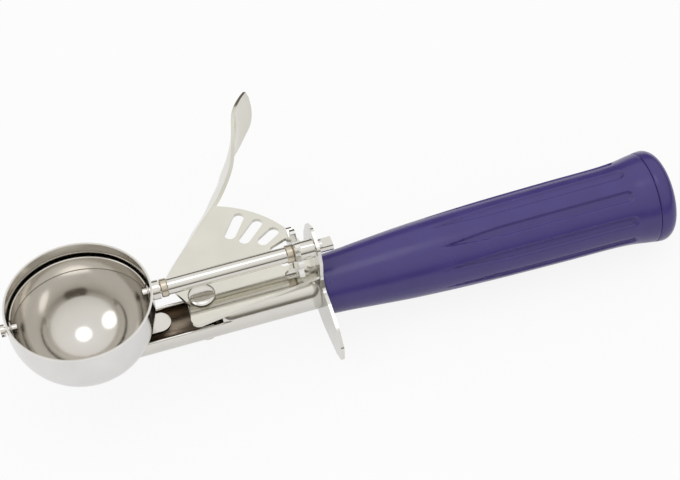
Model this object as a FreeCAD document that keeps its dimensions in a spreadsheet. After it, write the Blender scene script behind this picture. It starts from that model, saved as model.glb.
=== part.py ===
# Lever ice cream scoop: bowl with a sweeping blade, thumb lever with a slotted sector, star pinion.
# Frame: millimetres, +X along the blade spindle towards the handle, +Z out of the bowl's mouth,
# +Y towards the thumb lever. The origin is the centre of the bowl's sphere, on the spindle axis.
import FreeCAD, Part
import Sketcher
import math
import os

App = FreeCAD
Vec = App.Vector
doc = App.newDocument("scoop")
sheet = doc.addObject("Spreadsheet::Sheet", "sizes")
row = 0


def size(name, value):
    """Put one driving size in the sheet under its own alias."""
    global row
    row += 1
    sheet.set("A%d" % row, name)
    sheet.set("B%d" % row, str(value))
    sheet.setAlias("B%d" % row, name)


# Driving sizes of the bowl and the blade
size("bowl_radius", 21.7)
size("bowl_drop", 0.8)
size("bowl_wall", 0.7)
size("rim_height", 4.6)
size("blade_gap", 0.35)
size("blade_thickness", 0.6)
size("blade_width", 5.2)
size("blade_eye_radius", 2.5)
size("running_gap", 0.05)
size("tip_pin_radius", 1.0)
size("tip_head_radius", 1.9)
size("tip_head_length", 1.3)
size("tip_knob_radius", 1.3)
size("tip_knob_length", 1.6)

# Driving sizes of the spindle and its pinion
size("spindle_radius", 1.5)
size("tube_radius", 2.4)
size("front_bush_radius", 2.9)
size("front_bush_end", 23.6)
size("end_play", 0.3)
size("braze_ring_length", 2.2)
size("braze_ring_height", 0.35)
size("pinion_thickness", 1.6)
size("tooth_count", 8)
size("slot_ratio", 4)
size("tooth_pitch_radius", 7.45)
size("tooth_tip_radius", 7.8)
size("tooth_root_radius", 4.7)
size("tooth_tip_width", 2.2)
size("tooth_root_width", 2.9)
size("tooth_corner", 0.6)
size("hub_radius", 2.9)
size("spindle_end_radius", 2.1)
size("spindle_end_length", 4.2)
size("spindle_flat", 1.2)

# Driving sizes of the thumb lever
size("pivot_place", 35.4)
size("pivot_side", -1.6)
size("plate_top", -6.6)
size("plate_thickness", 1.2)
size("sector_radius", 35.4)
size("slot_count", 6)
size("slot_width", 3.6)
size("slot_inner", 23.0)
size("short_slot_inner", 25.6)
size("short_slot_count", 4)
size("slot_outer", 33.7)
size("rest_phase", 1.4)
size("fold_start_x", -9.2)
size("fold_start_y", 8.6)
size("fold_end_x", 14.4)
size("fold_end_y", 35.2)
size("lobe_x", -2.8)
size("lobe_y", -7.6)
size("lobe_radius", 2.4)
size("rear_edge_y", -3.7)
size("strip_thickness", 1.2)
size("pivot_radius", 2.2)
size("rivet_head_radius", 4.1)
size("rivet_head_height", 0.9)
size("rivet_head_rounding", 0.35)
size("rivet_washer_height", 0.3)
size("pivot_bush_radius", 3.1)
size("spring_coil_radius", 4.1)
size("spring_wire", 0.8)
size("spring_turns", 5)

# Driving sizes of the shank, the guard and the handle
size("shank_radius", 5.4)
size("shank_wall", 0.9)
size("handle_axis", -18.8)
size("window_lift", 2.6)
size("window_past_pivot", 8.0)
size("tongue_half_width", 3.6)
size("tongue_end", 25.3)
size("guard_clearance", 0.2)
size("guard_thickness", 1.0)
size("guard_rounding", 2.0)
size("handle_end", 179.3)
size("handle_front_radius", 9.3)
size("handle_waist_radius", 11.5)
size("handle_waist_place", 101.0)
size("handle_back_radius", 13.1)
size("handle_collar_radius", 15.0)
size("handle_collar_length", 8.0)
size("cap_length", 6.2)
size("cap_rounding", 3.6)
size("cap_taper", 0.4)
size("cap_spigot_radius", 9.0)
size("cap_spigot_length", 6.0)
size("flute_count", 10)
size("flute_radius", 3.4)
size("flute_depth", 0.75)
size("flute_front", 106.0)
size("flute_back", 170.0)
size("tang_back", 150.0)
doc.recompute()


def cell(name):
    """Read one size back from the sheet."""
    return float(sheet.get(name))


def bind(item, **places):
    """Bind properties of a feature to expressions on the sheet."""
    for key, words in places.items():
        item.setExpression(key.replace("__", "."), expression(words))


def expression(words):
    """Turn plain size names into references to the sheet."""
    out = ""
    words = str(words)
    for name, meaning in derived.items():
        words = words.replace(name, meaning)
    name = ""
    for sign in words + " ":
        if sign.isalnum() or sign == "_":
            name += sign
            continue
        out += ("sizes." + name) if name in names else name
        out += sign
        name = ""
    return out.strip()


# Places that follow from the driving sizes: the pinion stands over the slots, the guard behind the sector
derived = {
    "pinion_middle": "(pivot_place + slot_ratio * tooth_pitch_radius)",
    "guard_front": "(pivot_place + sector_radius + guard_clearance)",
}
names = {sheet.getAlias("B%d" % (i + 1)) for i in range(row)}
along_x = App.Rotation(Vec(0, 1, 0), 90)


def rod(name, radius, start, length, y="0", z="0"):
    """A cylinder along +X from start, its sizes given as expressions."""
    item = doc.addObject("Part::Cylinder", name)
    item.Placement = App.Placement(Vec(0, 0, 0), along_x)
    bind(item, Radius=radius, Height=length)
    bind(item, Placement__Base__x=start, Placement__Base__y=y, Placement__Base__z=z)
    return item


def post(name, radius, x, y, bottom, height):
    """A cylinder along +Z from bottom, its sizes given as expressions."""
    item = doc.addObject("Part::Cylinder", name)
    bind(item, Radius=radius, Height=height)
    bind(item, Placement__Base__x=x, Placement__Base__y=y, Placement__Base__z=bottom)
    return item


def block(name, x, y, z, length, width, height):
    """A box from its lowest corner, its sizes given as expressions."""
    item = doc.addObject("Part::Box", name)
    bind(item, Length=length, Width=width, Height=height)
    bind(item, Placement__Base__x=x, Placement__Base__y=y, Placement__Base__z=z)
    return item


def ball(name, radius, x="0", y="0", z="0"):
    """A sphere, its sizes given as expressions."""
    item = doc.addObject("Part::Sphere", name)
    bind(item, Radius=radius)
    bind(item, Placement__Base__x=x, Placement__Base__y=y, Placement__Base__z=z)
    return item


def cut(name, base, tool):
    item = doc.addObject("Part::Cut", name)
    item.Base = base
    item.Tool = tool
    return item


def fuse(name, *items):
    item = doc.addObject("Part::MultiFuse", name)
    item.Shapes = list(items)
    return item


def common(name, *items):
    item = doc.addObject("Part::MultiCommon", name)
    item.Shapes = list(items)
    return item


def role_plane(body, role):
    """One of a body's own origin planes."""
    return [f for f in body.Origin.OriginFeatures if f.Role == role][0]


def outline(owner, name, plane, points):
    """A closed outline whose corners are bound to expressions on the sheet."""
    sketch = owner.newObject("Sketcher::SketchObject", name)
    sketch.AttachmentSupport = [(role_plane(owner, plane), "")]
    sketch.MapMode = "FlatFace"
    rough = [(evaluate(u), evaluate(v)) for u, v in points]
    count = len(points)
    for i in range(count):
        a = Vec(rough[i][0], rough[i][1], 0)
        b = Vec(rough[(i + 1) % count][0], rough[(i + 1) % count][1], 0)
        sketch.addGeometry(Part.LineSegment(a, b), False)
    for i in range(count):
        sketch.addConstraint(Sketcher.Constraint("Coincident", i, 2, (i + 1) % count, 1))
    for i in range(count):
        for kind, side in (("DistanceX", 0), ("DistanceY", 1)):
            index = sketch.addConstraint(Sketcher.Constraint(kind, -1, 1, i, 1, rough[i][side]))
            sketch.setExpression("Constraints[%d]" % index, expression(points[i][side]))
    return sketch


def evaluate(words):
    """The present value of an expression made of sheet names."""
    probe.setExpression("Length", None)
    probe.setExpression("Length", expression("(" + str(words) + ") * 1mm + 1000mm"))
    probe.recompute()
    return probe.Length.Value - 1000


probe = doc.addObject("Part::Box", "probe")


def new_body(name):
    return doc.addObject("PartDesign::Body", name)


def revolve(body, name, sketch, axis):
    """Turn an outline once round one of the body's own axes."""
    turn = body.newObject("PartDesign::Revolution", name)
    turn.Profile = sketch
    turn.ReferenceAxis = (role_plane(body, axis), [""])
    turn.Angle = 360
    return turn


parts = {}


def node(name, item):
    """Name a finished sub-part."""
    item.Label = name
    parts[name] = item


def pad(body, name, sketch, length, both):
    """Thicken an outline along its normal; both ways of the plane when asked."""
    item = body.newObject("PartDesign::Pad", name)
    item.Profile = sketch
    bind(item, Length=length)
    item.Reversed = both
    return item


# The bowl: a drawn half sphere with a short straight rim, pierced for the blade's two pivots
bowl_ball = ball("bowl_ball", "bowl_radius", "0", "0", "-bowl_drop")
bowl_rim = post("bowl_rim", "bowl_radius", "0", "0", "-bowl_drop", "rim_height + bowl_drop")
bowl_envelope = fuse("bowl_envelope", bowl_ball, bowl_rim)
above_rim = post("above_rim", "bowl_radius + 1", "0", "0", "rim_height", "bowl_radius")
hollow_ball = ball("hollow_ball", "bowl_radius - bowl_wall", "0", "0", "-bowl_drop")
hollow_rim = post("hollow_rim", "bowl_radius - bowl_wall", "0", "0", "-bowl_drop", "rim_height + bowl_drop + 1")
tip_hole = rod("tip_hole", "tip_pin_radius + running_gap", "-bowl_radius - 1", "bowl_radius / 2")
spindle_hole = rod("spindle_hole", "spindle_radius + running_gap", "bowl_radius / 2", "bowl_radius")
bowl_cuts = fuse("bowl_cuts", above_rim, hollow_ball, hollow_rim, tip_hole, spindle_hole)
node("bowl", cut("bowl_shell", bowl_envelope, bowl_cuts))

# Bearing bush brazed to the bowl, its front end shaped to the bowl's outside
bush_blank = rod("bush_blank", "front_bush_radius", "bowl_radius - 1", "front_bush_end - bowl_radius + 1")
bush_bore = rod("bush_bore", "spindle_radius + running_gap", "bowl_radius - 2", "bowl_radius")
bush_cuts = fuse("bush_cuts", bush_bore, bowl_envelope)
node("front_bush", cut("front_bush_solid", bush_blank, bush_cuts))

# Sweeping blade: a strip of a thin sphere inside the bowl, with a round eye at each pivot
blade_outer = ball("blade_outer", "bowl_radius - bowl_wall - blade_gap")
blade_inner = ball("blade_inner", "bowl_radius - bowl_wall - blade_gap - blade_thickness")
blade_shell = cut("blade_shell", blade_outer, blade_inner)
blade_body = new_body("blade_form")
blade_view = outline(
    blade_body,
    "blade_view",
    "XZ_Plane",
    [
        ("-bowl_radius", "0"),
        ("-bowl_radius", "-blade_eye_radius * 0.8"),
        ("-bowl_radius * 0.55", "-blade_width * 0.93"),
        ("-bowl_radius * 0.2", "-blade_width"),
        ("bowl_radius * 0.2", "-blade_width"),
        ("bowl_radius * 0.55", "-blade_width * 0.93"),
        ("bowl_radius", "-blade_eye_radius * 0.8"),
        ("bowl_radius", "0"),
    ],
)
blade_pad = pad(blade_body, "blade_pad", blade_view, "bowl_radius", True)
blade_eyes = rod("blade_eyes", "blade_eye_radius", "-bowl_radius", "bowl_radius * 2")
blade_reach = fuse("blade_reach", blade_body, blade_eyes)
blade_strip = common("blade_strip", blade_shell, blade_reach)
blade_pins = rod("blade_tip_bore", "tip_pin_radius", "-bowl_radius", "bowl_radius")
blade_bore = rod("blade_spindle_bore", "spindle_radius", "0", "bowl_radius")
blade_holes = fuse("blade_holes", blade_pins, blade_bore)
node("scraper_blade", cut("scraper_blade_solid", blade_strip, blade_holes))

# Tip pin: riveted in the blade's front eye, with a two-lobed head outside the bowl
tip_inside = "bowl_radius - bowl_wall - blade_gap - blade_thickness"
tip_shank_length = "bowl_wall + blade_gap + blade_thickness + end_play + tip_knob_length"
tip_shank = rod("tip_shank", "tip_pin_radius", "-bowl_radius - end_play", tip_shank_length)
tip_knob = rod("tip_knob", "tip_knob_radius", "-(" + tip_inside + ") - 0.2", "tip_knob_length + 0.2")
tip_knob_seat = cut("tip_knob_seat", tip_knob, blade_shell)
tip_head = rod("tip_head", "tip_head_radius", "-bowl_radius - end_play - tip_head_length", "tip_head_length")
tip_slot = block(
    "tip_slot",
    "-bowl_radius - end_play - tip_head_length - 1",
    "-tip_head_radius",
    "-tip_pin_radius * 0.35",
    "tip_head_length * 0.6 + 1",
    "tip_head_radius * 2",
    "tip_pin_radius * 0.7",
)
tip_blank = fuse("tip_blank", tip_shank, tip_head, tip_knob_seat)
node("tip_pin", cut("tip_pin_solid", tip_blank, tip_slot))

# Spindle: the rod that turns the blade, from the blade's rear eye to behind the guard
spindle_front = tip_inside + " - 1.4"
spindle_rod = rod("spindle_bar", "spindle_radius", spindle_front, "guard_front + guard_thickness + end_play - (" + spindle_front + ")")
node("spindle_rod", spindle_rod)

# Spindle tube: slid over the rod and brazed at both ends
tube_front = "front_bush_end + end_play"
tube_back = "pinion_middle - pinion_thickness / 2"
tube_blank = rod("tube_blank", "tube_radius", tube_front, tube_back + " - (" + tube_front + ")")
tube_bore = rod("tube_bore", "spindle_radius", tube_front + " - 1", "pinion_middle")
node("spindle_tube", cut("spindle_tube_solid", tube_blank, tube_bore))


circles = (2, 3)


def braze_ring(name, start, length):
    """A low ring of braze round the tube with sloping ends."""
    blank = rod(name + "_blank", "tube_radius + braze_ring_height", start, length)
    bevel = doc.addObject("Part::Chamfer", name + "_bevel")
    bevel.Base = blank
    rim = cell("braze_ring_height") * 0.8
    bevel.Edges = [(edge, rim, rim) for edge in circles]
    bore = rod(name + "_bore", "tube_radius", start + " - 1", length + " + 2")
    node(name, cut(name + "_solid", bevel, bore))


braze_ring("front_braze_ring", tube_front, "braze_ring_length")
braze_ring("rear_braze_ring", tube_back + " - braze_ring_length", "braze_ring_length")

# Star pinion: eight tapered teeth on a disc, turned so that its low teeth stand in the slots
pinion_body = new_body("pinion_form")
pinion_disc = pinion_body.newObject("PartDesign::AdditiveCylinder", "pinion_disc")
bind(pinion_disc, Radius="tooth_root_radius", Height="pinion_thickness")
tooth_sketch = outline(
    pinion_body,
    "tooth_outline",
    "XY_Plane",
    [
        ("tooth_root_radius * 0.6", "-tooth_root_width / 2"),
        ("tooth_root_radius", "-tooth_root_width / 2"),
        ("tooth_tip_radius - tooth_corner", "-tooth_tip_width / 2"),
        ("tooth_tip_radius", "-tooth_tip_width / 2 + tooth_corner"),
        ("tooth_tip_radius", "tooth_tip_width / 2 - tooth_corner"),
        ("tooth_tip_radius - tooth_corner", "tooth_tip_width / 2"),
        ("tooth_root_radius", "tooth_root_width / 2"),
        ("tooth_root_radius * 0.6", "tooth_root_width / 2"),
    ],
)
tooth_pad = pad(pinion_body, "tooth_pad", tooth_sketch, "pinion_thickness", False)
doc.recompute()
tooth_ring = pinion_body.newObject("PartDesign::PolarPattern", "tooth_ring")
tooth_ring.Originals = [tooth_pad]
tooth_ring.Axis = (role_plane(pinion_body, "Z_Axis"), [""])
tooth_ring.Angle = 360
bind(tooth_ring, Occurrences="tooth_count")
pinion_body.Tip = tooth_ring
contact_angle = math.degrees(math.atan2(-cell("pivot_side"), cell("slot_ratio") * cell("tooth_pitch_radius")))
turn_down = App.Rotation(Vec(1, 0, 0), -(cell("rest_phase") + contact_angle) * cell("slot_ratio"))
pinion_body.Placement = App.Placement(Vec(0, 0, 0), turn_down.multiply(along_x))
bind(pinion_body, Placement__Base__x="pinion_middle - pinion_thickness / 2")
pinion_bore = rod("pinion_bore", "spindle_radius", "pinion_middle - 5", "10")
node("pinion_wheel", cut("pinion_wheel_solid", pinion_body, pinion_bore))

# Hub behind the pinion and the flatted end of the spindle behind the guard
hub_front = "pinion_middle + pinion_thickness / 2"
hub_blank = rod("hub_blank", "hub_radius", hub_front, "guard_front - end_play - (" + hub_front + ")")
hub_bore = rod("hub_bore", "spindle_radius", hub_front + " - 1", "guard_front")
node("pinion_hub", cut("pinion_hub_solid", hub_blank, hub_bore))
end_front = "guard_front + guard_thickness + end_play"
end_blank = rod("end_blank", "spindle_end_radius", end_front, "spindle_end_length")
end_flat = block(
    "end_flat", end_front + " + 1", "-spindle_end_radius", "spindle_flat", "spindle_end_length", "spindle_end_radius * 2", "spindle_end_radius"
)
node("spindle_end", cut("spindle_end_solid", end_blank, end_flat))

# Thumb lever: a flat sector plate with radial slots, a turned-up lip and a curved thumb strip
plate_body = new_body("plate_form")
plate_outline = outline(
    plate_body,
    "plate_outline",
    "XY_Plane",
    [
        ("fold_start_x", "fold_start_y"),
        ("-rivet_head_radius", "-rivet_head_radius / 2"),
        ("lobe_x - lobe_radius", "lobe_y"),
        ("lobe_x", "lobe_y"),
        ("lobe_x", "lobe_y - lobe_radius"),
        ("sector_radius * 1.1", "rear_edge_y"),
        ("sector_radius * 1.1", "fold_end_y"),
        ("fold_end_x", "fold_end_y"),
    ],
)
pad(plate_body, "plate_pad", plate_outline, "plate_thickness", False)
bind(plate_body, Placement__Base__x="pivot_place", Placement__Base__y="pivot_side", Placement__Base__z="plate_top - plate_thickness")
plate_disc = post("plate_disc", "sector_radius", "pivot_place", "pivot_side", "plate_top - plate_thickness", "plate_thickness")
plate_lobe = post(
    "plate_lobe", "lobe_radius", "pivot_place + lobe_x", "pivot_side + lobe_y", "plate_top - plate_thickness", "plate_thickness"
)
plate_sector = fuse("plate_sector", common("plate_trimmed", plate_body, plate_disc), plate_lobe)
slot_tools = []
for k in range(int(cell("slot_count"))):
    inner = "short_slot_inner" if k < cell("short_slot_count") else "slot_inner"
    run_start = inner + " + slot_width / 2"
    run_length = "slot_outer - slot_width - " + inner
    straight = block("slot_run_%d" % k, run_start, "-slot_width / 2", "-5", run_length, "slot_width", "10")
    near_end = post("slot_near_%d" % k, "slot_width / 2", run_start, "0", "-5", "10")
    far_end = post("slot_far_%d" % k, "slot_width / 2", "slot_outer - slot_width / 2", "0", "-5", "10")
    slot = fuse("slot_%d" % k, straight, near_end, far_end)
    angle = k * 360 / (cell("tooth_count") * cell("slot_ratio")) - cell("rest_phase")
    slot.Placement = App.Placement(Vec(0, 0, 0), App.Rotation(Vec(0, 0, 1), angle))
    bind(slot, Placement__Base__x="pivot_place", Placement__Base__y="pivot_side", Placement__Base__z="plate_top")
    slot_tools.append(slot)
pivot_hole = post("pivot_hole", "pivot_radius + running_gap", "pivot_place", "pivot_side", "plate_top - 5", "10")
plate_cut = cut("plate_cut", plate_sector, fuse("plate_holes", pivot_hole, *slot_tools))



def strip_section(before, here, after, lean, depth):
    """One cross-section of the strip, hung from its top edge and leaned out from the vertical."""
    along = (after - before).normalize()
    out = Vec(along.y, -along.x, 0)
    turn = math.radians(lean)
    down = out * math.sin(turn) - Vec(0, 0, math.cos(turn))
    across = along.cross(down).normalize() * (cell("strip_thickness") / 2)
    low = here + down * depth
    return Part.makePolygon([here + across, low + across, low - across, here - across, here + across])


def thumb_strip():
    """The folded front edge of the plate, carried on into the twisted thumb strip."""
    start = Vec(cell("fold_start_x"), cell("fold_start_y"), 0)
    corner = Vec(cell("fold_end_x"), cell("fold_end_y"), 0)
    fold = corner - start
    fold_steps = 5
    stations = [(start + fold * (i / fold_steps), -24 - 8 * i / fold_steps, 6.5 + 1.5 * i / fold_steps) for i in range(fold_steps + 1)]
    for x, y, lean, depth in strip_shape:
        stations.append((corner + Vec(x, y, 0), lean, depth))
    places = [start * 2 - stations[1][0]] + [s[0] for s in stations]
    places.append(places[-1] * 2 - places[-2])
    sections = []
    for i, (here, lean, depth) in enumerate(stations):
        sections.append(strip_section(places[i], here, places[i + 2], lean, depth))
    return Part.makeLoft(sections, True, False)


# Thumb strip past the plate's corner: offsets of its top edge, lean in degrees and depth
strip_shape = [
    (4.9, 7.2, -30, 10.0),
    (7.9, 12.9, -26, 11.0),
    (10.0, 19.0, -21, 11.5),
    (12.0, 26.2, -8, 12.5),
    (13.7, 32.7, 7, 12.0),
    (16.5, 38.4, 18, 10.5),
    (18.6, 41.0, 22, 8.0),
    (19.9, 42.3, 24, 5.0),
    (20.5, 42.8, 25, 2.0),
]
strip = doc.addObject("Part::Feature", "thumb_strip")
strip.Shape = thumb_strip()
bind(strip, Placement__Base__x="pivot_place", Placement__Base__y="pivot_side", Placement__Base__z="plate_top")
node("thumb_lever", fuse("lever_blank", plate_cut, strip))

# Pivot: a headed rivet through the plate and a spacer bush, up from the floor of the shank
rivet_floor = "handle_axis - shank_radius"
rivet_top = "plate_top + rivet_washer_height + end_play"
rivet_shank = post("rivet_shank", "pivot_radius", "pivot_place", "pivot_side", rivet_floor + " - 0.6", rivet_top + " - (" + rivet_floor + " - 0.6)")
rivet_head_blank = post("rivet_head_blank", "rivet_head_radius", "pivot_place", "pivot_side", rivet_top, "rivet_head_height")
rivet_head = doc.addObject("Part::Fillet", "rivet_head")
rivet_head.Base = rivet_head_blank
rivet_head.Edges = [(edge, cell("rivet_head_rounding"), cell("rivet_head_rounding")) for edge in circles]
rivet_foot = post("rivet_foot", "rivet_head_radius * 0.8", "pivot_place", "pivot_side", rivet_floor + " - 0.6", "0.6")
shank_tube_tool = rod("shank_tube_tool", "shank_radius", "pivot_place - 10", "20", "0", "handle_axis")
rivet_foot_cut = cut("rivet_foot_cut", rivet_foot, shank_tube_tool)
node("pivot_rivet", fuse("pivot_rivet_solid", rivet_shank, rivet_head, rivet_foot_cut))
washer_disc = post("washer_disc", "rivet_head_radius * 0.9", "pivot_place", "pivot_side", rivet_top + " - rivet_washer_height", "rivet_washer_height")
washer_hole = post("washer_hole", "pivot_radius", "pivot_place", "pivot_side", "plate_top - 5", "20")
node("pivot_washer", cut("pivot_washer_solid", washer_disc, washer_hole))
bush_bottom = "handle_axis - shank_radius + shank_wall"
sleeve = post("sleeve", "pivot_bush_radius", "pivot_place", "pivot_side", bush_bottom, "plate_top - plate_thickness - running_gap - (" + bush_bottom + ")")
shank_bore_tool = rod("shank_bore_tool", "shank_radius - shank_wall - running_gap", "pivot_place - 10", "20", "0", "handle_axis")
upper_space = block("upper_space", "pivot_place - 10", "-10", "handle_axis + window_lift", "20", "20", "20")
inside_shank = fuse("inside_shank", shank_bore_tool, upper_space)
sleeve_in = common("sleeve_in", sleeve, inside_shank)
sleeve_bore = post("sleeve_bore", "pivot_radius", "pivot_place", "pivot_side", bush_bottom + " - 1", "plate_top - (" + bush_bottom + ") + 1")
node("pivot_bush", cut("pivot_bush_solid", sleeve_in, sleeve_bore))


# Return spring: close coils round the pivot bush
def coil():
    """A round wire swept along a helix, with plain ends."""
    turns = int(cell("spring_turns"))
    pitch = cell("spring_wire") * 1.5
    radius = cell("spring_coil_radius")
    helix = Part.makeHelix(pitch, pitch * turns, radius)
    section = Part.Wire(Part.makeCircle(cell("spring_wire") / 2, Vec(radius, 0, 0), Vec(0, 1, 0)))
    return Part.Wire(helix.Edges).makePipeShell([section], True, True)


spring = doc.addObject("Part::Feature", "spring_coil")
spring.Shape = coil()
spring.Placement = App.Placement(
    Vec(cell("pivot_place"), cell("pivot_side"), cell("plate_top") - cell("plate_thickness") - 1.5 - cell("spring_turns") * cell("spring_wire") * 1.5), App.Rotation()
)
node("return_spring", spring)

# Shank: a tube from the bowl to the guard, opened on top at the front, its rear roof pressed flat
shank_outer = rod("shank_outer", "shank_radius", "0", "guard_front", "0", "handle_axis")
shank_inner = rod("shank_inner", "shank_radius - shank_wall", "-1", "guard_front + 2", "0", "handle_axis")
shank_window = block("shank_window", "-1", "-shank_radius", "handle_axis + window_lift", "pivot_place + window_past_pivot + 1", "shank_radius * 2", "shank_radius")
shank_cuts = fuse("shank_cuts", shank_inner, shank_window, bowl_envelope)
shank_front = block("shank_front", "-1", "-shank_radius", "handle_axis - shank_radius", "9", "shank_radius * 2", "shank_radius * 3")
shank_open = cut("shank_open", shank_outer, fuse("shank_all_cuts", shank_cuts, shank_front))
rivet_hole = post("rivet_hole", "pivot_radius", "pivot_place", "pivot_side", "handle_axis - 10", "8")
node("shank", cut("shank_solid", shank_open, rivet_hole))

# Tongue: a tab on the bowl's back that is welded into the open front of the shank
tongue_front = "bowl_radius / 2"
tongue_middle = "tongue_end - tongue_half_width"
tongue_top = "handle_axis + window_lift"
tongue_plate = block(
    "tongue_plate",
    tongue_front,
    "-tongue_half_width",
    tongue_top,
    tongue_middle + " - " + tongue_front,
    "tongue_half_width * 2",
    "shank_wall",
)
tongue_round = post("tongue_round", "tongue_half_width", tongue_middle, "0", tongue_top, "shank_wall")
node("shank_tongue", cut("tongue_shape", fuse("tongue_blank", tongue_plate, tongue_round), bowl_envelope))

# Guard: a stamped finger plate between the shank and the handle
guard_body = new_body("guard_form")
guard_outline = outline(
    guard_body,
    "guard_outline",
    "YZ_Plane",
    [
        ("-3.5", "3"),
        ("3", "5"),
        ("9", "1"),
        ("12", "-6"),
        ("13", "-14"),
        ("10", "-25"),
        ("3", "-31"),
        ("-6", "-31.5"),
        ("-19", "-29"),
        ("-24", "-26"),
        ("-24.5", "-20"),
        ("-20", "-15.5"),
        ("-12", "-13"),
        ("-7", "-12.5"),
        ("-5", "-9"),
        ("-5.5", "-2"),
    ],
)
guard_pad = pad(guard_body, "guard_pad", guard_outline, "guard_thickness", False)
doc.recompute()
guard_corners = [
    "Edge%d" % (i + 1)
    for i, edge in enumerate(guard_pad.Shape.Edges)
    if abs(edge.BoundBox.XLength - cell("guard_thickness")) < 0.01 and edge.BoundBox.YLength < 0.01
]
guard_round = guard_body.newObject("PartDesign::Fillet", "guard_round")
guard_round.Base = (guard_pad, guard_corners)
bind(guard_round, Radius="guard_rounding")
guard_body.Tip = guard_round
bind(guard_body, Placement__Base__x="guard_front")
guard_bore = rod("guard_bore", "spindle_radius + running_gap", "guard_front - 1", "guard_thickness + 2")
node("guard_plate", cut("guard_plate_solid", guard_body, guard_bore))

# Tang: the tube that carries the handle behind the guard
tang_front = "guard_front + guard_thickness"
tang_outer = rod("tang_outer", "shank_radius", tang_front, "tang_back - (" + tang_front + ")", "0", "handle_axis")
tang_inner = rod("tang_inner", "shank_radius - shank_wall", tang_front + " - 1", "tang_back", "0", "handle_axis")
node("handle_tang", cut("handle_tang_solid", tang_outer, tang_inner))

# Handle grip: a moulded sleeve with long flutes and a collar at its back end
grip_body = new_body("grip_form")
grip_section = outline(
    grip_body,
    "grip_section",
    "XZ_Plane",
    [
        (tang_front, "0"),
        (tang_front, "handle_front_radius"),
        ("handle_waist_place - 15", "handle_front_radius * 0.45 + handle_waist_radius * 0.55"),
        ("handle_waist_place", "handle_waist_radius"),
        ("handle_waist_place + 23", "handle_back_radius - 0.7"),
        ("flute_back - 20", "handle_back_radius - 0.2"),
        ("handle_end - handle_collar_length", "handle_back_radius"),
        ("handle_end - handle_collar_length * 0.4", "handle_collar_radius - 0.3"),
        ("handle_end", "handle_collar_radius"),
        ("handle_end", "0"),
    ],
)
revolve(grip_body, "grip_turn", grip_section, "X_Axis")
bind(grip_body, Placement__Base__z="handle_axis")
grip_cuts = []
for k in range(int(cell("flute_count"))):
    lift = "handle_back_radius + flute_radius - flute_depth"
    run = rod("flute_run_%d" % k, "flute_radius", "flute_front", "flute_back - flute_front", "0", lift)
    back_ball = ball("flute_back_%d" % k, "flute_radius", "flute_back", "0", lift)
    one = fuse("flute_%d" % k, run, back_ball)
    around = App.Rotation(Vec(1, 0, 0), (k + 0.5) * 360 / cell("flute_count"))
    one.Placement = App.Placement(Vec(0, 0, 0), around)
    bind(one, Placement__Base__z="handle_axis")
    grip_cuts.append(one)
grip_bore = rod("grip_bore", "shank_radius", tang_front + " - 1", "tang_back - (" + tang_front + ") + 1", "0", "handle_axis")
spigot_bore = rod("spigot_bore", "cap_spigot_radius", "handle_end - cap_spigot_length", "cap_spigot_length + 1", "0", "handle_axis")
node("handle_grip", cut("handle_grip_solid", grip_body, fuse("grip_holes", grip_bore, spigot_bore, *grip_cuts)))

# End cap: a rounded plug pressed into the grip
cap_body = new_body("cap_form")
cap_section = outline(
    cap_body,
    "cap_section",
    "XZ_Plane",
    [
        ("0", "0"),
        ("0", "handle_collar_radius"),
        ("cap_length", "handle_collar_radius - cap_taper"),
        ("cap_length", "0"),
    ],
)
cap_turn = revolve(cap_body, "cap_turn", cap_section, "X_Axis")
doc.recompute()
back_edges = [
    "Edge%d" % (i + 1)
    for i, edge in enumerate(cap_turn.Shape.Edges)
    if edge.BoundBox.XLength < 0.01 and edge.BoundBox.XMin > cell("cap_length") - 0.01
]
cap_round = cap_body.newObject("PartDesign::Fillet", "cap_round")
cap_round.Base = (cap_turn, back_edges)
bind(cap_round, Radius="cap_rounding")
cap_body.Tip = cap_round
bind(cap_body, Placement__Base__x="handle_end", Placement__Base__z="handle_axis")
cap_spigot = rod("cap_spigot", "cap_spigot_radius", "handle_end - cap_spigot_length", "cap_spigot_length", "0", "handle_axis")
node("end_cap", fuse("end_cap_solid", cap_body, cap_spigot))

doc.recompute()
doc.removeObject("probe")
doc.recompute()
for item in doc.Objects:
    for word in ("Invalid", "Error"):
        if word in item.State:
            raise RuntimeError("failed feature: " + item.Name)
for name, item in parts.items():
    if item.Shape.isNull() or not item.Shape.isValid():
        raise RuntimeError("bad shape: " + name)
os.makedirs("parts", exist_ok=True)
for name, item in parts.items():
    item.Shape.exportStep("parts/%s.step" % name)
    print("%-20s solids %d volume %.1f" % (name, len(item.Shape.Solids), item.Shape.Volume))
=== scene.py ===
import math

import bpy
from mathutils import Matrix, Vector


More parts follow.
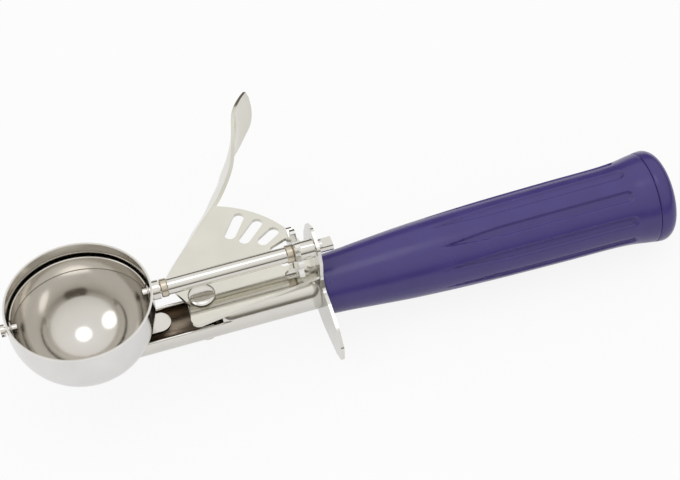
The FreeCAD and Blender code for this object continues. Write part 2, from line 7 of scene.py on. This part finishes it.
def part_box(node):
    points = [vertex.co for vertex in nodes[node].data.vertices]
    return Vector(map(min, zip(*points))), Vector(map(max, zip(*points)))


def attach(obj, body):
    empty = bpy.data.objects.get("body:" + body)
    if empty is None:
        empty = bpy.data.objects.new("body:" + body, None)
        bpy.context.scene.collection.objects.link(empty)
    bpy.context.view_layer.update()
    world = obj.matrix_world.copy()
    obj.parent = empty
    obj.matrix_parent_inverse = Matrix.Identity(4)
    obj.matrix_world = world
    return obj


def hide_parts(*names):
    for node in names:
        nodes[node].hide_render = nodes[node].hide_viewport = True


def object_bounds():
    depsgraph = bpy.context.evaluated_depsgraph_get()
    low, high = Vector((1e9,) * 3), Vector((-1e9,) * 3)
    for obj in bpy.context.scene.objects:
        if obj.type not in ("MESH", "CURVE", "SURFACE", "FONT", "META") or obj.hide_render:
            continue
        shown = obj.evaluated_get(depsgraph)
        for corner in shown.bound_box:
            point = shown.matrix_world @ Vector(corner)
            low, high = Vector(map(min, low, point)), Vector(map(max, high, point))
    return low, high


# The scoop as it was built, with every rigid piece already in place
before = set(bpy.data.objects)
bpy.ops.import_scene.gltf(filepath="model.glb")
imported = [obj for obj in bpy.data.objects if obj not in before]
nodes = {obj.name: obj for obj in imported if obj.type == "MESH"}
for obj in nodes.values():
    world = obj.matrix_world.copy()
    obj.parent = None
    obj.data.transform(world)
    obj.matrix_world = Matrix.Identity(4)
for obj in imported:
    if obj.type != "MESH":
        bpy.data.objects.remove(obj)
built_box = [list(corner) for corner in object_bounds()]

# The bowl is a hemisphere with a short straight rim, drawn from stainless sheet and
# polished to a mirror inside and out, with the faint rings that the buffing wheel leaves.


haze_scale = 90.0
scratch_strength = 0.15
worn_tone = 0.93


def steel(name, tone, roughness, haze, scratch_stretch, scratch_depth):
    """A polished sheet steel with hazy patches and fine scratches along one direction."""
    material = bpy.data.materials.new(name)
    material.use_nodes = True
    tree = material.node_tree
    surface = tree.nodes["Principled BSDF"]
    surface.inputs["Metallic"].default_value = 1.0
    place = tree.nodes.new("ShaderNodeTexCoord")

    cloud = tree.nodes.new("ShaderNodeTexNoise")
    cloud.inputs["Scale"].default_value = haze_scale
    cloud.inputs["Detail"].default_value = 3.0
    tree.links.new(place.outputs["Object"], cloud.inputs["Vector"])

    stretch = tree.nodes.new("ShaderNodeMapping")
    stretch.inputs["Scale"].default_value = scratch_stretch
    tree.links.new(place.outputs["Object"], stretch.inputs["Vector"])
    scratches = tree.nodes.new("ShaderNodeTexNoise")
    scratches.inputs["Scale"].default_value = 1.0
    scratches.inputs["Detail"].default_value = 5.0
    tree.links.new(stretch.outputs["Vector"], scratches.inputs["Vector"])

    both = tree.nodes.new("ShaderNodeMix")
    both.inputs["Factor"].default_value = 0.5
    tree.links.new(cloud.outputs["Fac"], both.inputs["A"])
    tree.links.new(scratches.outputs["Fac"], both.inputs["B"])

    gloss = tree.nodes.new("ShaderNodeMapRange")
    gloss.inputs["From Min"].default_value = 0.35
    gloss.inputs["From Max"].default_value = 0.7
    gloss.inputs["To Min"].default_value = roughness
    gloss.inputs["To Max"].default_value = roughness + haze
    tree.links.new(both.outputs["Result"], gloss.inputs["Value"])
    tree.links.new(gloss.outputs["Result"], surface.inputs["Roughness"])

    colour = tree.nodes.new("ShaderNodeValToRGB")
    colour.color_ramp.elements[0].position = 0.3
    colour.color_ramp.elements[0].color = [c * worn_tone for c in tone] + [1.0]
    colour.color_ramp.elements[1].position = 0.7
    colour.color_ramp.elements[1].color = list(tone) + [1.0]
    tree.links.new(cloud.outputs["Fac"], colour.inputs["Fac"])
    tree.links.new(colour.outputs["Color"], surface.inputs["Base Color"])

    bump = tree.nodes.new("ShaderNodeBump")
    bump.inputs["Strength"].default_value = scratch_strength
    bump.inputs["Distance"].default_value = scratch_depth
    tree.links.new(scratches.outputs["Fac"], bump.inputs["Height"])
    tree.links.new(bump.outputs["Normal"], surface.inputs["Normal"])
    return material


def finish_with(material, *names):
    """Give one finish to frame pieces, in place of the one they came with."""
    for name in names:
        piece = nodes[name]
        piece.data.materials.clear()
        piece.data.materials.append(material)


mirror_steel = steel("mirror_steel", (0.80, 0.79, 0.78), 0.09, 0.07, (500, 500, 4000), 2e-6)
finish_with(mirror_steel, "bowl")

# The inside of the bowl is painted darker than the outside, as painted shade for the shade in its
# hollow.
# Which side a point is on follows from its distance to the bowl's centre, against the middle of
# the sheet.
bowl_centre = (0.0, 0.0, -0.0008)
bowl_middle_wall = 0.02135
bowl_inside_shade_tone = (0.84, 0.82, 0.78, 1.0)
bowl_tree = mirror_steel.node_tree
bowl_place = bowl_tree.nodes.new("ShaderNodeTexCoord")
bowl_split = bowl_tree.nodes.new("ShaderNodeSeparateXYZ")
bowl_tree.links.new(bowl_place.outputs["Object"], bowl_split.inputs["Vector"])
bowl_low = bowl_tree.nodes.new("ShaderNodeMath")
bowl_low.operation = "MINIMUM"
bowl_low.inputs[1].default_value = bowl_centre[2]
bowl_tree.links.new(bowl_split.outputs["Z"], bowl_low.inputs[0])
bowl_flat = bowl_tree.nodes.new("ShaderNodeCombineXYZ")
bowl_tree.links.new(bowl_split.outputs["X"], bowl_flat.inputs["X"])
bowl_tree.links.new(bowl_split.outputs["Y"], bowl_flat.inputs["Y"])
bowl_tree.links.new(bowl_low.outputs["Value"], bowl_flat.inputs["Z"])
bowl_reach = bowl_tree.nodes.new("ShaderNodeVectorMath")
bowl_reach.operation = "DISTANCE"
bowl_reach.inputs[1].default_value = bowl_centre
bowl_tree.links.new(bowl_flat.outputs["Vector"], bowl_reach.inputs[0])
bowl_inside = bowl_tree.nodes.new("ShaderNodeMath")
bowl_inside.operation = "LESS_THAN"
bowl_inside.inputs[1].default_value = bowl_middle_wall
bowl_tree.links.new(bowl_reach.outputs["Value"], bowl_inside.inputs[0])
# Painted shade: the bowl's inside tone is multiplied darker here.
bowl_painted_shade = bowl_tree.nodes.new("ShaderNodeMix")
bowl_painted_shade.data_type = "RGBA"
bowl_painted_shade.blend_type = "MULTIPLY"
bowl_tones_in = [s for s in bowl_painted_shade.inputs if s.type == "RGBA"]
bowl_tones_in[1].default_value = bowl_inside_shade_tone
bowl_tone_out = [s for s in bowl_painted_shade.outputs if s.type == "RGBA"][0]
bowl_surface = bowl_tree.nodes["Principled BSDF"]
bowl_tree.links.new(bowl_inside.outputs["Value"], bowl_painted_shade.inputs["Factor"])
bowl_tree.links.new(bowl_surface.inputs["Base Color"].links[0].from_socket, bowl_tones_in[0])
bowl_tree.links.new(bowl_tone_out, bowl_surface.inputs["Base Color"])

# The blade that sweeps the bowl is a thin polished strip, bent to the bowl's curve. It turns
# on a riveted tip pin at the front and on the spindle's end at the back.
blade_steel = steel("blade_steel", (0.72, 0.69, 0.64), 0.10, 0.08, (300, 4000, 300), 3e-6)
finish_with(blade_steel, "tip_pin")


def sheet_piece(name, points, faces, thickness, material, body, node):
    """A piece of thin sheet: its outer surface, thickened inwards, in place of a frame piece."""
    mesh = bpy.data.meshes.new(name)
    mesh.from_pydata(points, [], faces)
    mesh.validate()
    mesh.shade_smooth()
    mesh.materials.append(material)
    piece = bpy.data.objects.new(name, mesh)
    bpy.context.scene.collection.objects.link(piece)
    thick = piece.modifiers.new("sheet", "SOLIDIFY")
    thick.thickness = thickness
    thick.offset = -1.0
    thick.use_even_offset = True
    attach(piece, body)
    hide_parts(node)
    return piece


blade_half_length = 0.02065
blade_bow = 0.02020
blade_sheet = 0.0005
blade_eye = 0.0025
blade_eye_hole = 0.0010
blade_middle_width = 0.0050
blade_end_share = 0.42
blade_taper = 0.7
eye_steps = 3
blade_columns = 12
blade_rows = 72
blade_points = []
blade_faces = []


def blade_point(side, reach, turn):
    """A point of the blade's outer face, by its distance from the spindle line and its turn."""
    place = blade_half_length * math.sqrt(1.0 - (reach / blade_bow) ** 2)
    return (side * place, reach * math.cos(turn), -reach * math.sin(turn))


eye_rings = {}
for side in (-1, 1):
    eye_rings[side] = []
    for k in range(eye_steps + 1):
        reach = blade_eye_hole + (blade_eye - blade_eye_hole) * k / eye_steps
        eye_rings[side].append(len(blade_points))
        for c in range(4 * blade_columns):
            blade_points.append(blade_point(side, reach, math.pi / 2 * c / blade_columns))
    for inner, outer in zip(eye_rings[side], eye_rings[side][1:]):
        for c in range(4 * blade_columns):
            n = (c + 1) % (4 * blade_columns)
            loop = (inner + c, outer + c, outer + n, inner + n)
            blade_faces.append(loop[::-1] if side > 0 else loop)

blade_row_starts = [eye_rings[-1][-1]]
eye_angle = math.asin(blade_eye / blade_bow)
for row in range(1, blade_rows):
    along = eye_angle + (math.pi - 2 * eye_angle) * row / blade_rows
    reach = blade_bow * math.sin(along)
    side = -1 if along < math.pi / 2 else 1
    wider = (1 - blade_end_share) * math.sin(along) ** blade_taper
    width = blade_middle_width * (blade_end_share + wider)
    full_turn = math.asin(min(1.0, width / reach))
    blade_row_starts.append(len(blade_points))
    for c in range(blade_columns + 1):
        blade_points.append(blade_point(side, reach, full_turn * c / blade_columns))
blade_row_starts.append(eye_rings[1][-1])
for first, second in zip(blade_row_starts, blade_row_starts[1:]):
    for c in range(blade_columns):
        blade_faces.append((first + c, second + c, second + c + 1, first + c + 1))
sheet_piece(
    "bowed_blade",
    blade_points,
    blade_faces,
    blade_sheet,
    blade_steel,
    "scraper",
    "scraper_blade",
)

# The spindle is a drawn rod in a tube. The tube is brazed to it at both ends, and the front
# bush that carries it is brazed to the bowl.
drawn_steel = steel("drawn_steel", (0.77, 0.75, 0.71), 0.11, 0.08, (250, 3500, 3500), 4e-6)
finish_with(drawn_steel, "spindle_rod", "spindle_tube", "front_bush", "spindle_end", "pinion_hub")
braze = steel("braze", (0.64, 0.58, 0.48), 0.26, 0.14, (900, 900, 900), 1.5e-5)
finish_with(braze, "front_braze_ring", "rear_braze_ring")

# The pinion is a stamped steel star of eight teeth with a satin face. It is pressed on the
# spindle behind the tube, where its teeth stand in the slots of the thumb lever.
stamped_steel = steel("stamped_steel", (0.80, 0.79, 0.76), 0.14, 0.10, (600, 3000, 600), 4e-6)
finish_with(stamped_steel, "pinion_wheel")

# The thumb lever is stamped from flat plate with six radial slots. Its front corner runs up
# into a thumb strip, twisted and curved, and the whole is tumbled to a soft shine.
plate_steel = steel("plate_steel", (0.76, 0.745, 0.68), 0.09, 0.06, (120, 500, 120), 3e-6)
finish_with(plate_steel, "thumb_lever")

# The lever turns on a headed steel rivet, with a washer under the head and a bush below the
# plate. The rivet has a slightly domed head, and a wider foot at the floor of the shank.
finish_with(drawn_steel, "pivot_washer", "pivot_bush")
washer_low, washer_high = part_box("pivot_washer")
rivet_middle = (washer_low + washer_high) / 2
rivet_head_under = washer_high.z
rivet_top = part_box("pivot_rivet")[1].z
rivet_head = 0.0041
rivet_stem = 0.0022
rivet_foot = 0.0031
rivet_foot_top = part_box("pivot_bush")[0].z
rivet_profile = [
    (0.0, rivet_top),
    (rivet_head * 0.5, rivet_top - 0.00004),
    (rivet_head * 0.82, rivet_top - 0.00014),
    (rivet_head * 0.93, rivet_top - 0.00028),
    (rivet_head, rivet_top - 0.00055),
    (rivet_head * 0.98, rivet_head_under + 0.00008),
    (rivet_head * 0.95, rivet_head_under),
    (rivet_stem, rivet_head_under),
    (rivet_stem, rivet_foot_top),
    (rivet_foot, rivet_foot_top),
    (rivet_foot, rivet_foot_top - 0.0009),
    (0.0, rivet_foot_top - 0.0011),
]
rivet_around = 64
rivet_points = []
rivet_faces = []
for reach, height in rivet_profile[1:-1]:
    for k in range(rivet_around):
        angle = 2 * math.pi * k / rivet_around
        x = rivet_middle.x + reach * math.cos(angle)
        y = rivet_middle.y + reach * math.sin(angle)
        rivet_points.append((x, y, height))
rivet_last_ring = len(rivet_profile) - 3
for ring in range(rivet_last_ring):
    for k in range(rivet_around):
        n = (k + 1) % rivet_around
        upper = ring * rivet_around
        lower = upper + rivet_around
        rivet_faces.append((upper + k, lower + k, lower + n, upper + n))
rivet_tips = [(rivet_profile[0][1], 0, 1), (rivet_profile[-1][1], rivet_last_ring, -1)]
for height, ring, order in rivet_tips:
    tip = len(rivet_points)
    rivet_points.append((rivet_middle.x, rivet_middle.y, height))
    for k in range(rivet_around):
        n = (k + 1) % rivet_around
        loop = (tip, ring * rivet_around + k, ring * rivet_around + n)
        rivet_faces.append(loop[::order])
rivet_mesh = bpy.data.meshes.new("headed_rivet")
rivet_mesh.from_pydata(rivet_points, [], rivet_faces)
rivet_mesh.validate()
rivet_mesh.shade_smooth()
rivet_mesh.set_sharp_from_angle(angle=math.radians(40.0))
rivet_mesh.materials.append(drawn_steel)
rivet = bpy.data.objects.new("headed_rivet", rivet_mesh)
bpy.context.scene.collection.objects.link(rivet)
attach(rivet, "frame")
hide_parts("pivot_rivet")

# The return spring is hard drawn wire, duller than the plate. It is coiled round the bush,
# between the plate and the shank.
spring_steel = steel("spring_steel", (0.55, 0.54, 0.52), 0.25, 0.12, (700, 700, 700), 4e-6)
finish_with(spring_steel, "return_spring")

# The shank is a steel tube from the bowl to the guard, cut open on top at its front and
# polished outside. Its inside is painted dark brown as painted shade inside the channel.
# A tongue joins it to the bowl.
finish_with(drawn_steel, "shank_tongue", "handle_tang")
shank_radius = 0.0066
shank_sheet = 0.0009
shank_axis = -0.0188
shank_near_edge = 0.0026
shank_far_edge = 0.0048
shank_front = 0.009
shank_window_end = 0.0401
shank_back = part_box("shank")[1].x
shank_bowl = 0.0217
shank_sunk = 0.00005
shank_columns = 64
shank_open_steps = 16
shank_steps = 26
near_turn = -math.asin(shank_near_edge / shank_radius)
far_turn = math.pi + math.asin(shank_far_edge / shank_radius)
shank_points = []
shank_faces = []
shank_turns = []
for c in range(shank_columns + 1):
    shank_turns.append(near_turn + (far_turn - near_turn) * c / shank_columns)
roof_columns = 24
for c in range(1, roof_columns):
    shank_turns.append(far_turn + (near_turn + 2 * math.pi - far_turn) * c / roof_columns)
for step in range(shank_steps + 1):
    for turn in shank_turns:
        y = -shank_radius * math.cos(turn)
        z = shank_axis - shank_radius * math.sin(turn)
        clear = shank_bowl**2 - y**2 - (z - bowl_centre[2]) ** 2
        start = math.sqrt(max(clear, shank_front**2)) - shank_sunk
        open_share = min(1.0, step / shank_open_steps)
        closed_share = max(0.0, (step - shank_open_steps) / (shank_steps - shank_open_steps))
        x = start + (shank_window_end - start) * open_share
        x += (shank_back - shank_window_end) * closed_share
        shank_points.append((x, y, z))
for step in range(shank_steps):
    for c in range(len(shank_turns)):
        if step < shank_open_steps and c >= shank_columns:
            continue
        first = step * len(shank_turns)
        second = first + len(shank_turns)
        n = (c + 1) % len(shank_turns)
        shank_faces.append((first + c, first + n, second + n, second + c))
shank = sheet_piece(
    "opened_shank",
    shank_points,
    shank_faces,
    shank_sheet,
    drawn_steel,
    "frame",
    "shank",
)
# Painted shade: the shank's inside face gets a dark brown steel in place of shade in the channel.
shank_inside_shade = steel("shank_inside_shade", (0.34, 0.28, 0.22), 0.24, 0.14, (250, 1500, 1500), 4e-6)
shank.data.materials.append(shank_inside_shade)
shank.modifiers["sheet"].material_offset = 1

# The guard is a stamped steel finger plate with rounded corners, polished on both faces. It
# stands between the shank and the grip.
finish_with(stamped_steel, "guard_plate")

# The grip is a moulded sleeve of glossy plastic with long flutes. The mould leaves a very
# light orange-peel, and handling a few fine scuffs.


def moulded(name, tone, roughness):
    """A glossy moulded plastic with a faint orange-peel and slightly uneven gloss."""
    material = bpy.data.materials.new(name)
    material.use_nodes = True
    tree = material.node_tree
    surface = tree.nodes["Principled BSDF"]
    surface.inputs["IOR"].default_value = 1.5
    place = tree.nodes.new("ShaderNodeTexCoord")

    peel = tree.nodes.new("ShaderNodeTexNoise")
    peel.inputs["Scale"].default_value = 700.0
    peel.inputs["Detail"].default_value = 2.0
    tree.links.new(place.outputs["Object"], peel.inputs["Vector"])
    bump = tree.nodes.new("ShaderNodeBump")
    bump.inputs["Strength"].default_value = 0.2
    bump.inputs["Distance"].default_value = 2e-5
    tree.links.new(peel.outputs["Fac"], bump.inputs["Height"])
    tree.links.new(bump.outputs["Normal"], surface.inputs["Normal"])

    scuffs = tree.nodes.new("ShaderNodeTexNoise")
    scuffs.inputs["Scale"].default_value = 120.0
    scuffs.inputs["Detail"].default_value = 6.0
    tree.links.new(place.outputs["Object"], scuffs.inputs["Vector"])
    gloss = tree.nodes.new("ShaderNodeMapRange")
    gloss.inputs["From Min"].default_value = 0.35
    gloss.inputs["From Max"].default_value = 0.75
    gloss.inputs["To Min"].default_value = roughness
    gloss.inputs["To Max"].default_value = roughness + 0.12
    tree.links.new(scuffs.outputs["Fac"], gloss.inputs["Value"])
    tree.links.new(gloss.outputs["Result"], surface.inputs["Roughness"])

    colour = tree.nodes.new("ShaderNodeValToRGB")
    colour.color_ramp.elements[0].position = 0.3
    colour.color_ramp.elements[0].color = [c * 0.88 for c in tone] + [1.0]
    colour.color_ramp.elements[1].position = 0.7
    colour.color_ramp.elements[1].color = list(tone) + [1.0]
    tree.links.new(scuffs.outputs["Fac"], colour.inputs["Fac"])
    tree.links.new(colour.outputs["Color"], surface.inputs["Base Color"])
    return material


grip_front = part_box("handle_grip")[0].x
grip_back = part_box("handle_grip")[1].x
cap_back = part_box("end_cap")[1].x
grip_axis = Vector((0.0, 0.0, -0.0188))
grip_places = [grip_front, 0.079, 0.086, 0.101, 0.124, 0.150, 0.166, 0.1725, 0.1765, grip_back]
grip_radii = [0.0092, 0.0096, 0.0102, 0.0114, 0.0124, 0.0129, 0.01305, 0.01345, 0.01405, 0.01445]
flute_total = 10
flute_first = math.radians(30.5)
flute_half = math.radians(6.6)
flute_edge = math.radians(1.6)
flute_start = 0.104
flute_full = 0.130
flute_end = 0.1715
flute_depth = 0.00075


def smooth(share):
    """An even step from nought to one."""
    share = min(1.0, max(0.0, share))
    return share * share * (3.0 - 2.0 * share)


def through(places, values, at):
    """The value at a place on a smooth line through the given values."""
    last = len(places) - 1
    i = max(k for k in range(last) if places[k] <= at or k == 0)
    slopes = []
    for k in (i, i + 1):
        before = max(0, k - 1)
        after = min(last, k + 1)
        slopes.append((values[after] - values[before]) / (places[after] - places[before]))
    span = places[i + 1] - places[i]
    u = (at - places[i]) / span
    start = values[i] * (1 + 2 * u) * (1 - u) ** 2 + slopes[0] * span * u * (1 - u) ** 2
    return start + values[i + 1] * u * u * (3 - 2 * u) + slopes[1] * span * u * u * (u - 1)


def flute(at, angle):
    """How deep the grip is cut at this place and angle."""
    step = 2 * math.pi / flute_total
    off = abs((angle - flute_first + step / 2) % step - step / 2)
    wide = flute_half * smooth((at - flute_start) / (flute_full - flute_start))
    radius = flute_half * 0.013
    round_end = max(0.0, (at - (flute_end - radius)) / radius)
    wide *= math.sqrt(max(0.0, 1.0 - round_end**2))
    if at > flute_end or wide < flute_edge / 4:
        return 0.0
    return flute_depth * smooth((wide - off) / min(flute_edge, wide) + 0.5 * (wide > flute_edge))


def turned(name, rings, around):
    """A closed turned body from rings of points, each ring given as place and radius per angle."""
    verts = []
    faces = []
    for place, radii in rings:
        for k in range(around):
            angle = 2 * math.pi * k / around
            reach = radii(angle)
            spoke = Vector((0.0, -math.sin(angle) * reach, math.cos(angle) * reach))
            verts.append(grip_axis + Vector((place, 0.0, 0.0)) + spoke)
    for i in range(len(rings) - 1):
        for k in range(around):
            n = (k + 1) % around
            first = i * around
            second = first + around
            faces.append((first + k, first + n, second + n, second + k))
    faces.append(tuple(reversed(range(around))))
    faces.append(tuple((len(rings) - 1) * around + k for k in range(around)))
    mesh = bpy.data.meshes.new(name)
    mesh.from_pydata(verts, [], faces)
    mesh.validate()
    mesh.shade_smooth()
    body = bpy.data.objects.new(name, mesh)
    bpy.context.scene.collection.objects.link(body)
    return body


def plain(radius):
    """The same radius at every angle."""
    return lambda angle: radius


def grooved(at):
    """The grip's radius at every angle, flutes cut."""
    return lambda angle: through(grip_places, grip_radii, at) - flute(at, angle)


grip_steps = 220
seam = 0.0002
grip_rings = [
    (grip_front, plain(grip_radii[0] - 0.0008)),
    (grip_front, plain(grip_radii[0] - 0.0003)),
]
for i in range(1, grip_steps + 1):
    grip_rings.append((grip_front + (grip_back - seam * 1.5 - grip_front) * i / grip_steps, None))
grip_rings = [(place, radii or grooved(place)) for place, radii in grip_rings]
grip_rings.append((grip_back - seam * 0.8, plain(grip_radii[-1] - seam * 0.8)))
grip_rings.append((grip_back - seam * 0.8, plain(grip_radii[-1] - 0.0015)))
grip = turned("fluted_grip", grip_rings, 300)
grip_plastic = moulded("grip_plastic", (0.060, 0.043, 0.222), 0.18)
grip.data.materials.append(grip_plastic)
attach(grip, "frame")
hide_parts("handle_grip")

# The end cap is a separate plug of the same plastic, pressed into the grip with a fine seam
# left open round it. Its edge is rounded into a nearly flat end.
cap_belly = 0.0147
cap_seam = grip_radii[-1] + 0.00003
cap_round = 0.0038
cap_rings = [
    (grip_back, plain(cap_seam - 0.0015)),
    (grip_back, plain(cap_seam - seam)),
    (grip_back + seam, plain(cap_seam)),
    (grip_back + 0.0012, plain(cap_seam + 0.00015)),
]
for i in range(13):
    turn = math.pi / 2 * i / 12
    out = cap_belly - cap_round + cap_round * math.cos(turn)
    cap_rings.append((cap_back - 0.0002 - cap_round + cap_round * math.sin(turn), plain(out)))
for i in range(1, 6):
    inward = (cap_belly - cap_round) * (1 - i / 5.5)
    cap_rings.append((cap_back - 0.0002 * (1 - i / 5), plain(inward)))
cap = turned("pressed_cap", cap_rings, 128)
cap_plastic = moulded("cap_plastic", (0.060, 0.043, 0.222), 0.18)
cap.data.materials.append(cap_plastic)
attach(cap, "frame")
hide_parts("end_cap")

# The scoop lies on a plain white table top. Seen by the camera and by the polished metal the
# table is nearly white, and it keeps a soft shadow.
table_half = 1.2
table_height = built_box[0][2] - 0.0003
table_mesh = bpy.data.meshes.new("table_top")
table_corners = [(x, y, table_height) for x, y in ((-1, -1), (1, -1), (1, 1), (-1, 1))]
table_corners = [(x * table_half, y * table_half, z) for x, y, z in table_corners]
table_mesh.from_pydata(table_corners, [], [(0, 1, 2, 3)])
table_top = bpy.data.objects.new("table_top", table_mesh)
bpy.context.scene.collection.objects.link(table_top)

table_paint = bpy.data.materials.new("table_paint")
table_paint.use_nodes = True
paint_tree = table_paint.node_tree
paint_tree.nodes.clear()
paint_out = paint_tree.nodes.new("ShaderNodeOutputMaterial")
paint_matt = paint_tree.nodes.new("ShaderNodeBsdfDiffuse")
paint_matt.inputs["Color"].default_value = (0.88, 0.88, 0.88, 1.0)
paint_white = paint_tree.nodes.new("ShaderNodeEmission")
paint_white.inputs["Color"].default_value = (1.0, 1.0, 1.0, 1.0)
seen_by = paint_tree.nodes.new("ShaderNodeLightPath")
seen_share = paint_tree.nodes.new("ShaderNodeMath")
seen_share.operation = "MULTIPLY"
seen_share.inputs[1].default_value = 0.88
paint_mix = paint_tree.nodes.new("ShaderNodeMixShader")
seen_bare = paint_tree.nodes.new("ShaderNodeMath")
seen_bare.operation = "MULTIPLY_ADD"
seen_bare.inputs[1].default_value = 0.6
paint_tree.links.new(seen_by.outputs["Is Glossy Ray"], seen_bare.inputs[0])
paint_tree.links.new(seen_by.outputs["Is Camera Ray"], seen_bare.inputs[2])
paint_tree.links.new(seen_bare.outputs["Value"], seen_share.inputs[0])
paint_tree.links.new(seen_share.outputs["Value"], paint_mix.inputs["Fac"])
paint_tree.links.new(paint_matt.outputs["BSDF"], paint_mix.inputs[1])
paint_tree.links.new(paint_white.outputs["Emission"], paint_mix.inputs[2])
paint_tree.links.new(paint_mix.outputs["Shader"], paint_out.inputs["Surface"])
table_mesh.materials.append(table_paint)

# A white tent of light stands round the scoop, with one soft lamp above it and one at its left.
# The tent is open at the back, low down, and that opening shows darker in the polished steel.


def soft_box(name, place, aim, width, height, radiance):
    """A round soft lamp turned to face a point, as bright as a surface of that radiance."""
    lamp = bpy.data.lights.new(name, "AREA")
    lamp.shape = "ELLIPSE"
    lamp.size = width
    lamp.size_y = height
    lamp.energy = radiance * math.pi * math.pi / 4 * width * height
    stand = bpy.data.objects.new(name, lamp)
    stand.location = place
    stand.rotation_euler = (Vector(aim) - Vector(place)).to_track_quat("-Z", "Y").to_euler()
    bpy.context.scene.collection.objects.link(stand)


soft_box("top_box", (0.05, -0.02, 0.80), (0.03, 0.0, -0.01), 0.36, 0.36, 1.0)
soft_box("left_box", (-0.48, -0.06, 0.52), (0.03, 0.0, -0.01), 0.34, 0.34, 1.0)

tent_opening_azimuth = math.radians(180.0)
tent = bpy.data.worlds.new("tent")
bpy.context.scene.world = tent
tent.use_nodes = True
tent_tree = tent.node_tree
tent_light = tent_tree.nodes["Background"]
tent_place = tent_tree.nodes.new("ShaderNodeTexCoord")
tent_split = tent_tree.nodes.new("ShaderNodeSeparateXYZ")
tent_tree.links.new(tent_place.outputs["Generated"], tent_split.inputs["Vector"])


def between(value, low, high, soft):
    """One inside a range of a direction's coordinate and nought outside it, with soft borders."""
    rise = tent_tree.nodes.new("ShaderNodeMapRange")
    rise.interpolation_type = "SMOOTHSTEP"
    rise.inputs["From Min"].default_value = low - soft
    rise.inputs["From Max"].default_value = low + soft
    fall = tent_tree.nodes.new("ShaderNodeMapRange")
    fall.interpolation_type = "SMOOTHSTEP"
    fall.inputs["From Min"].default_value = high - soft
    fall.inputs["From Max"].default_value = high + soft
    fall.inputs["To Min"].default_value = 1.0
    fall.inputs["To Max"].default_value = 0.0
    product = tent_tree.nodes.new("ShaderNodeMath")
    product.operation = "MULTIPLY"
    tent_tree.links.new(value, rise.inputs["Value"])
    tent_tree.links.new(value, fall.inputs["Value"])
    tent_tree.links.new(rise.outputs["Result"], product.inputs[0])
    tent_tree.links.new(fall.outputs["Result"], product.inputs[1])
    return product.outputs["Value"]


opening_line = tent_tree.nodes.new("ShaderNodeVectorMath")
opening_line.operation = "DOT_PRODUCT"
opening_x = math.sin(tent_opening_azimuth)
opening_y = -math.cos(tent_opening_azimuth)
opening_line.inputs[1].default_value = (opening_x, opening_y, 0.0)
tent_tree.links.new(tent_place.outputs["Generated"], opening_line.inputs[0])
opening_height = between(tent_split.outputs["Z"], 0.0, 0.45, 0.02)
opening_width = between(opening_line.outputs["Value"], 0.8, 2.0, 0.03)
opening = tent_tree.nodes.new("ShaderNodeMath")
opening.operation = "MULTIPLY"
tent_tree.links.new(opening_height, opening.inputs[0])
tent_tree.links.new(opening_width, opening.inputs[1])

tent_tone = tent_tree.nodes.new("ShaderNodeValToRGB")
tent_stops = tent_tone.color_ramp.elements
tent_stops[0].position = 0.0
tent_stops[0].color = (0.16, 0.15, 0.13, 1.0)
tent_stops[1].position = 1.0
tent_stops[1].color = (1.0, 1.0, 1.0, 1.0)
tent_tones = [
    (0.22, (0.20, 0.18, 0.15)),
    (0.42, (0.74, 0.73, 0.69)),
    (0.72, (0.95, 0.94, 0.91)),
]
for position, tone in tent_tones:
    tent_stops.new(position).color = tone + (1.0,)
tent_tree.links.new(tent_split.outputs["Z"], tent_tone.inputs["Fac"])
tent_colour = tent_tree.nodes.new("ShaderNodeMix")
tent_colour.data_type = "RGBA"
colour_in = [s for s in tent_colour.inputs if s.type == "RGBA"]
colour_in[1].default_value = (0.16, 0.145, 0.12, 1.0)
colour_out = [s for s in tent_colour.outputs if s.type == "RGBA"]
tent_tree.links.new(opening.outputs["Value"], tent_colour.inputs["Factor"])
tent_tree.links.new(tent_tone.outputs["Color"], colour_in[0])
tent_tree.links.new(colour_out[0], tent_light.inputs["Color"])
tent_light.inputs["Strength"].default_value = 1.0

# The camera looks down from in front of the scoop, a little to its left, as a hand would hold
# it on a copy stand, tilted slightly.
view_azimuth = math.radians(-15.45)
view_height = math.radians(50.07)
view_roll = math.radians(-3.04)
view_distance = 0.4855
view_target = Vector((0.0791, 0.0, 0.0))
view_lift = 0.00014
toward = Vector(
    (
        math.sin(view_azimuth) * math.cos(view_height),
        -math.cos(view_azimuth) * math.cos(view_height),
        math.sin(view_height),
    )
)
level_right = Vector((0.0, 0.0, 1.0)).cross(toward).normalized()
level_up = toward.cross(level_right)
frame_right = level_right * math.cos(view_roll) + level_up * math.sin(view_roll)
frame_up = level_up * math.cos(view_roll) - level_right * math.sin(view_roll)
lens = bpy.data.cameras.new("camera")
lens.lens = 86.3
lens.sensor_width = 36.0
lens.clip_start = 0.01
camera = bpy.data.objects.new("camera", lens)
bpy.context.scene.collection.objects.link(camera)
camera_turn = Matrix((frame_right, frame_up, toward)).transposed().to_4x4()
standing = view_target + frame_up * view_lift + toward * view_distance
camera.matrix_world = Matrix.Translation(standing) @ camera_turn
bpy.context.scene.camera = camera
bpy.context.scene.view_settings.view_transform = "Standard"
